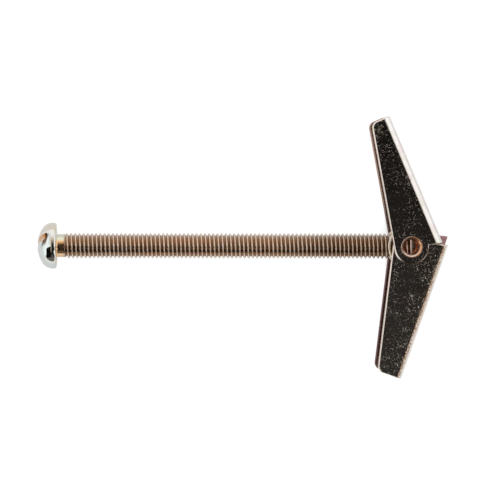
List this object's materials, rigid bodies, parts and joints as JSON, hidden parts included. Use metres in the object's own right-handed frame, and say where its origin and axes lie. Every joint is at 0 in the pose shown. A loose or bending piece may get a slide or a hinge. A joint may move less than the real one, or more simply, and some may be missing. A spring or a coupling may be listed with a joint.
{
  "type": "spring toggle bolt",
  "caption": "Spring toggle bolt: slotted round-head screw with a pair of sprung folding sheet wings on a trunnion nut.",
  "frame": {"origin": "centre of the head's bearing face, on the shank's axis", "axes": "+X along the shank from the head to the wings, +Y towards the tip of the upper wing, +Z along the pivot axis, up as the part lies"},
  "size_m": [0.0788, 0.0502, 0.0108],
  "materials": {
    "screw": "yellow-passivated zinc",
    "nut": "yellow-passivated zinc",
    "wings": "yellow-passivated zinc",
    "spring": "bright drawn wire"
  },
  "bodies": {
    "screw": {"screw": "screw"},
    "nut": {"trunnion_nut": "nut", "spring": "spring"},
    "upper_wing": {"upper_wing": "wings"},
    "lower_wing": {"lower_wing": "wings"}
  },
  "joints": [
    {"name": "toggle_travel", "type": "slide", "parent": "screw", "child": "nut", "axis": [1, 0, 0], "range_m": [-0.041, 0.003]},
    {"name": "upper_wing_pivot", "type": "hinge", "parent": "nut", "child": "upper_wing", "pos_m": [0.0676, 0, 0], "axis": [0, 0, 1], "range_deg": [0, 72.4], "stiffness_Nm_per_rad": 0.012, "springref_deg": -34.38, "deforming": ["spring"]},
    {"name": "lower_wing_pivot", "type": "hinge", "parent": "nut", "child": "lower_wing", "pos_m": [0.0676, 0, 0], "axis": [0, 0, -1], "range_deg": [0, 76.5], "stiffness_Nm_per_rad": 0.012, "springref_deg": -34.38, "deforming": ["spring"]}
  ]
}
